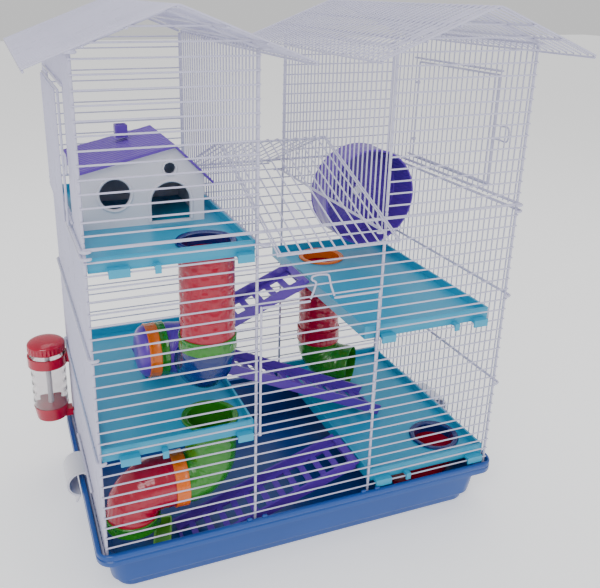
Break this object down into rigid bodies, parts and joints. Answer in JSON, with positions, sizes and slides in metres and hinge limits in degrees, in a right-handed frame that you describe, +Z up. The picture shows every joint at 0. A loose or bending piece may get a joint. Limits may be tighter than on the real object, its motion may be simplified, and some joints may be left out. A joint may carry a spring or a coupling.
{
  "type": "hamster cage",
  "caption": "Two-tower wire pet cage on a moulded tray, with shelves, ladders, climbing tubes, a running wheel, a small house, doors and a water bottle.",
  "frame": {"origin": "centre of the flat underside of the tray", "axes": "+Z up, -Y is the front with the drop-down door, +X is the right-hand tower as seen from the front"},
  "size_m": [0.5666, 0.366, 0.6096],
  "materials": {
    "coated_wire": "gloss white-lavender plastic coating on steel wire",
    "tray_blue": "moulded bright blue plastic",
    "shelf_teal": "moulded teal-blue plastic",
    "purple": "moulded purple plastic",
    "white_plastic": "moulded white plastic",
    "red": "moulded red translucent plastic",
    "green": "moulded green translucent plastic",
    "orange": "moulded orange plastic",
    "dark_blue": "dark blue translucent plastic",
    "light_green": "moulded light green plastic",
    "clear": "clear moulded plastic"
  },
  "bodies": {
    "cage": {"base_tray": "tray_blue", "blue_elbow": "dark_blue", "bottle_base": "red", "bottle_holder": "red", "bottle_inner_tube": "white_plastic", "bottle_reservoir": "clear", "collar_lower_left": "green", "collar_lower_right": "red", "collar_upper_left": "dark_blue", "collar_upper_right": "orange", "feeding_trough": "light_green", "floor_ladder": "purple", "green_elbow_left": "green", "green_elbow_right": "green", "green_ring_left": "green", "green_ring_lower": "green", "green_ring_upper": "green", "house_walls": "white_plastic", "left_roof": "coated_wire", "left_tower_back": "coated_wire", "left_tower_front": "coated_wire", "left_tower_inner_wall": "coated_wire", "left_tower_outer_wall": "coated_wire", "lower_back_panel": "coated_wire", "lower_front_panel": "coated_wire", "lower_left_panel": "coated_wire", "lower_right_panel": "coated_wire", "middle_ladder": "purple", "orange_ring_lower": "orange", "orange_ring_upper": "orange", "purple_elbow": "purple", "purple_end_dome": "purple", "red_elbow_left": "red", "red_elbow_right": "red", "red_ring_right": "red", "red_tube_left": "red", "red_tube_right": "red", "right_roof": "coated_wire", "right_tower_back": "coated_wire", "right_tower_front": "coated_wire", "right_tower_inner_wall": "coated_wire", "right_tower_outer_wall": "coated_wire", "shelf_lower_left": "shelf_teal", "shelf_lower_right": "shelf_teal", "shelf_upper_left": "shelf_teal", "shelf_upper_right": "shelf_teal", "upper_ladder": "purple", "wheel_axle": "white_plastic", "wheel_bracket": "white_plastic"},
    "front_door": {"front_door": "coated_wire"},
    "left_side_door": {"left_side_door": "coated_wire"},
    "right_side_door": {"right_side_door": "coated_wire"},
    "centre_roof": {"centre_roof": "coated_wire"},
    "wheel": {"wheel_drum": "purple"},
    "tray_clip_left": {"tray_clip_left": "white_plastic"},
    "tray_clip_right": {"tray_clip_right": "white_plastic"},
    "house_roof": {"house_roof": "purple"},
    "bottle_cap": {"bottle_cap": "red"}
  },
  "joints": [
    {"name": "front_door_hinge", "type": "hinge", "parent": "cage", "child": "front_door", "pos_m": [0, -0.145, 0.1713], "axis": [1, 0, 0], "range_deg": [0, 120]},
    {"name": "left_side_door_hinge", "type": "hinge", "parent": "cage", "child": "left_side_door", "pos_m": [-0.24182, 0.085, 0.47], "axis": [0, 0, -1], "range_deg": [0, 120]},
    {"name": "right_side_door_hinge", "type": "hinge", "parent": "cage", "child": "right_side_door", "pos_m": [0.24182, 0.085, 0.47], "axis": [0, 0, 1], "range_deg": [0, 120]},
    {"name": "centre_roof_hinge", "type": "hinge", "parent": "cage", "child": "centre_roof", "pos_m": [0, 0.1457, 0.3999], "axis": [-1, 0, 0], "range_deg": [0, 24]},
    {"name": "wheel_spin", "type": "hinge", "parent": "cage", "child": "wheel", "pos_m": [0.167, 0.08748, 0.3577], "axis": [0, 1, 0], "continuous": true},
    {"name": "tray_clip_left_hinge", "type": "hinge", "parent": "cage", "child": "tray_clip_left", "pos_m": [-0.23922, 0, 0.07986], "axis": [0, 1, 0], "range_deg": [0, 70]},
    {"name": "tray_clip_right_hinge", "type": "hinge", "parent": "cage", "child": "tray_clip_right", "pos_m": [0.23922, 0, 0.07986], "axis": [0, -1, 0], "range_deg": [0, 70]},
    {"name": "house_roof_lift", "type": "slide", "parent": "cage", "child": "house_roof", "axis": [0, 0, 1], "range_m": [0, 0.05]},
    {"name": "bottle_cap_turn", "type": "hinge", "parent": "cage", "child": "bottle_cap", "pos_m": [-0.26542, 0.1207, 0.18], "axis": [0, 0, 1], "continuous": true}
  ]
}
